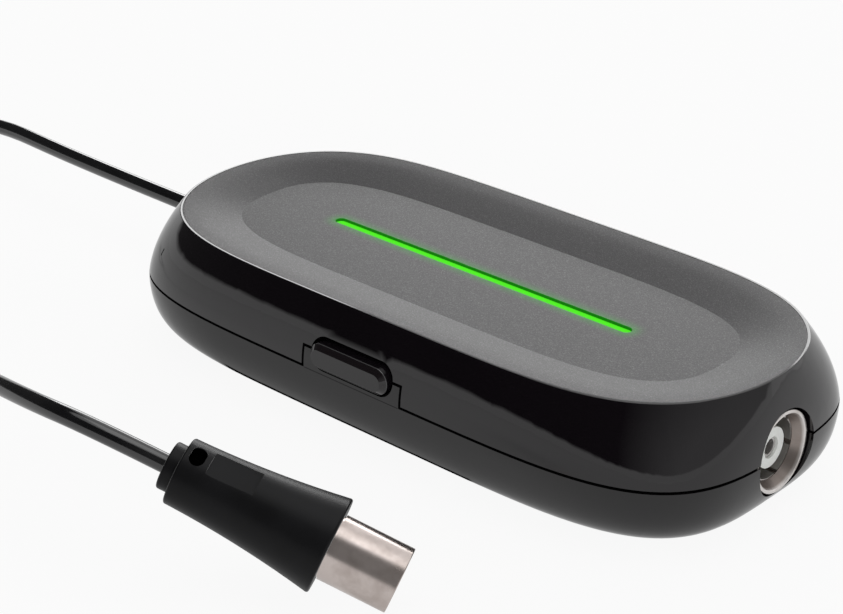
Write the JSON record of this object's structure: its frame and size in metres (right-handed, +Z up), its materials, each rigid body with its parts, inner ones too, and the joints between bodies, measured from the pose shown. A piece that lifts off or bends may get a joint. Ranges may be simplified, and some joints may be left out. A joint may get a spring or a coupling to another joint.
{
  "type": "tv signal amplifier",
  "caption": "Low oval aerial signal amplifier with a dished top panel, lit bar, push button, end socket for an aerial plug and a captive lead that ends in a coaxial aerial plug.",
  "frame": {"origin": "on the resting surface, under the middle of the casing", "axes": "+X along the casing towards the aerial socket, +Z up, the push button on the -Y side, the captive lead leaving towards -X"},
  "size_m": [0.2371, 0.1059, 0.0233],
  "materials": {
    "casing_gloss": "high gloss moulded plastic",
    "base_gloss": "glossy moulded plastic, matt inside",
    "panel_speckle": "matt grey with a fine speckle",
    "light_bar": "translucent, lit from below",
    "clear_guide": "clear",
    "diode": "clear resin",
    "button_gloss": "high gloss",
    "switch_black": "matt moulding",
    "plunger_brown": "smooth moulding",
    "board_green": "lacquered board",
    "tinned_steel": "tinned sheet",
    "chip_black": "matt epoxy",
    "copper": "enamelled copper",
    "ferrite": "fired ceramic",
    "capacitor_can": "drawn can",
    "jack_black": "matt moulding",
    "plated_pin": "nickel plated",
    "nickel": "bright nickel plate",
    "white_insulator": "smooth white moulding",
    "gland_black": "satin moulding",
    "steel_screw": "zinc plated",
    "rubber_foot": "matt rubber",
    "cable_jacket": "glossy jacket",
    "tie_black": "satin strap",
    "plug_black": "satin moulding",
    "plug_core": "matt moulding"
  },
  "bodies": {
    "housing": {"upper_shell": "casing_gloss", "lower_shell": "base_gloss", "top_panel": "panel_speckle", "light_bar": "light_bar", "light_guide": "clear_guide", "light_diodes": "diode", "switch_body": "switch_black", "circuit_board": "board_green", "shield_frame": "tinned_steel", "shield_lid": "tinned_steel", "amplifier_chip": "chip_black", "voltage_regulator": "chip_black", "filter_windings": "copper", "ferrite_core": "ferrite", "capacitors": "capacitor_can", "power_jack": "jack_black", "power_pin": "plated_pin", "socket_shell": "nickel", "contact_sleeve": "nickel", "socket_insulator": "white_insulator", "socket_contact": "plated_pin", "cable_gland": "gland_black", "cable_clamp": "switch_black", "case_screws": "steel_screw", "board_screws": "steel_screw", "clamp_screws": "steel_screw", "rubber_feet": "rubber_foot", "cable_tail": "cable_jacket", "cable_core": "copper", "output_cable": "cable_jacket", "cable_coil": "cable_jacket", "plug_lead": "cable_jacket", "cable_tie": "tie_black", "plug_body": "plug_black", "plug_collar": "plug_black", "plug_sleeve": "nickel", "plug_insulator": "plug_core", "plug_pin": "plated_pin"},
    "button": {"button_cap": "button_gloss", "switch_plunger": "plunger_brown"}
  },
  "joints": [
    {"name": "button_press", "type": "slide", "parent": "housing", "child": "button", "axis": [0, 1, 0], "range_m": [0, 0.0006], "stiffness_N_per_m": 1500, "springref_m": -0.0005}
  ]
}
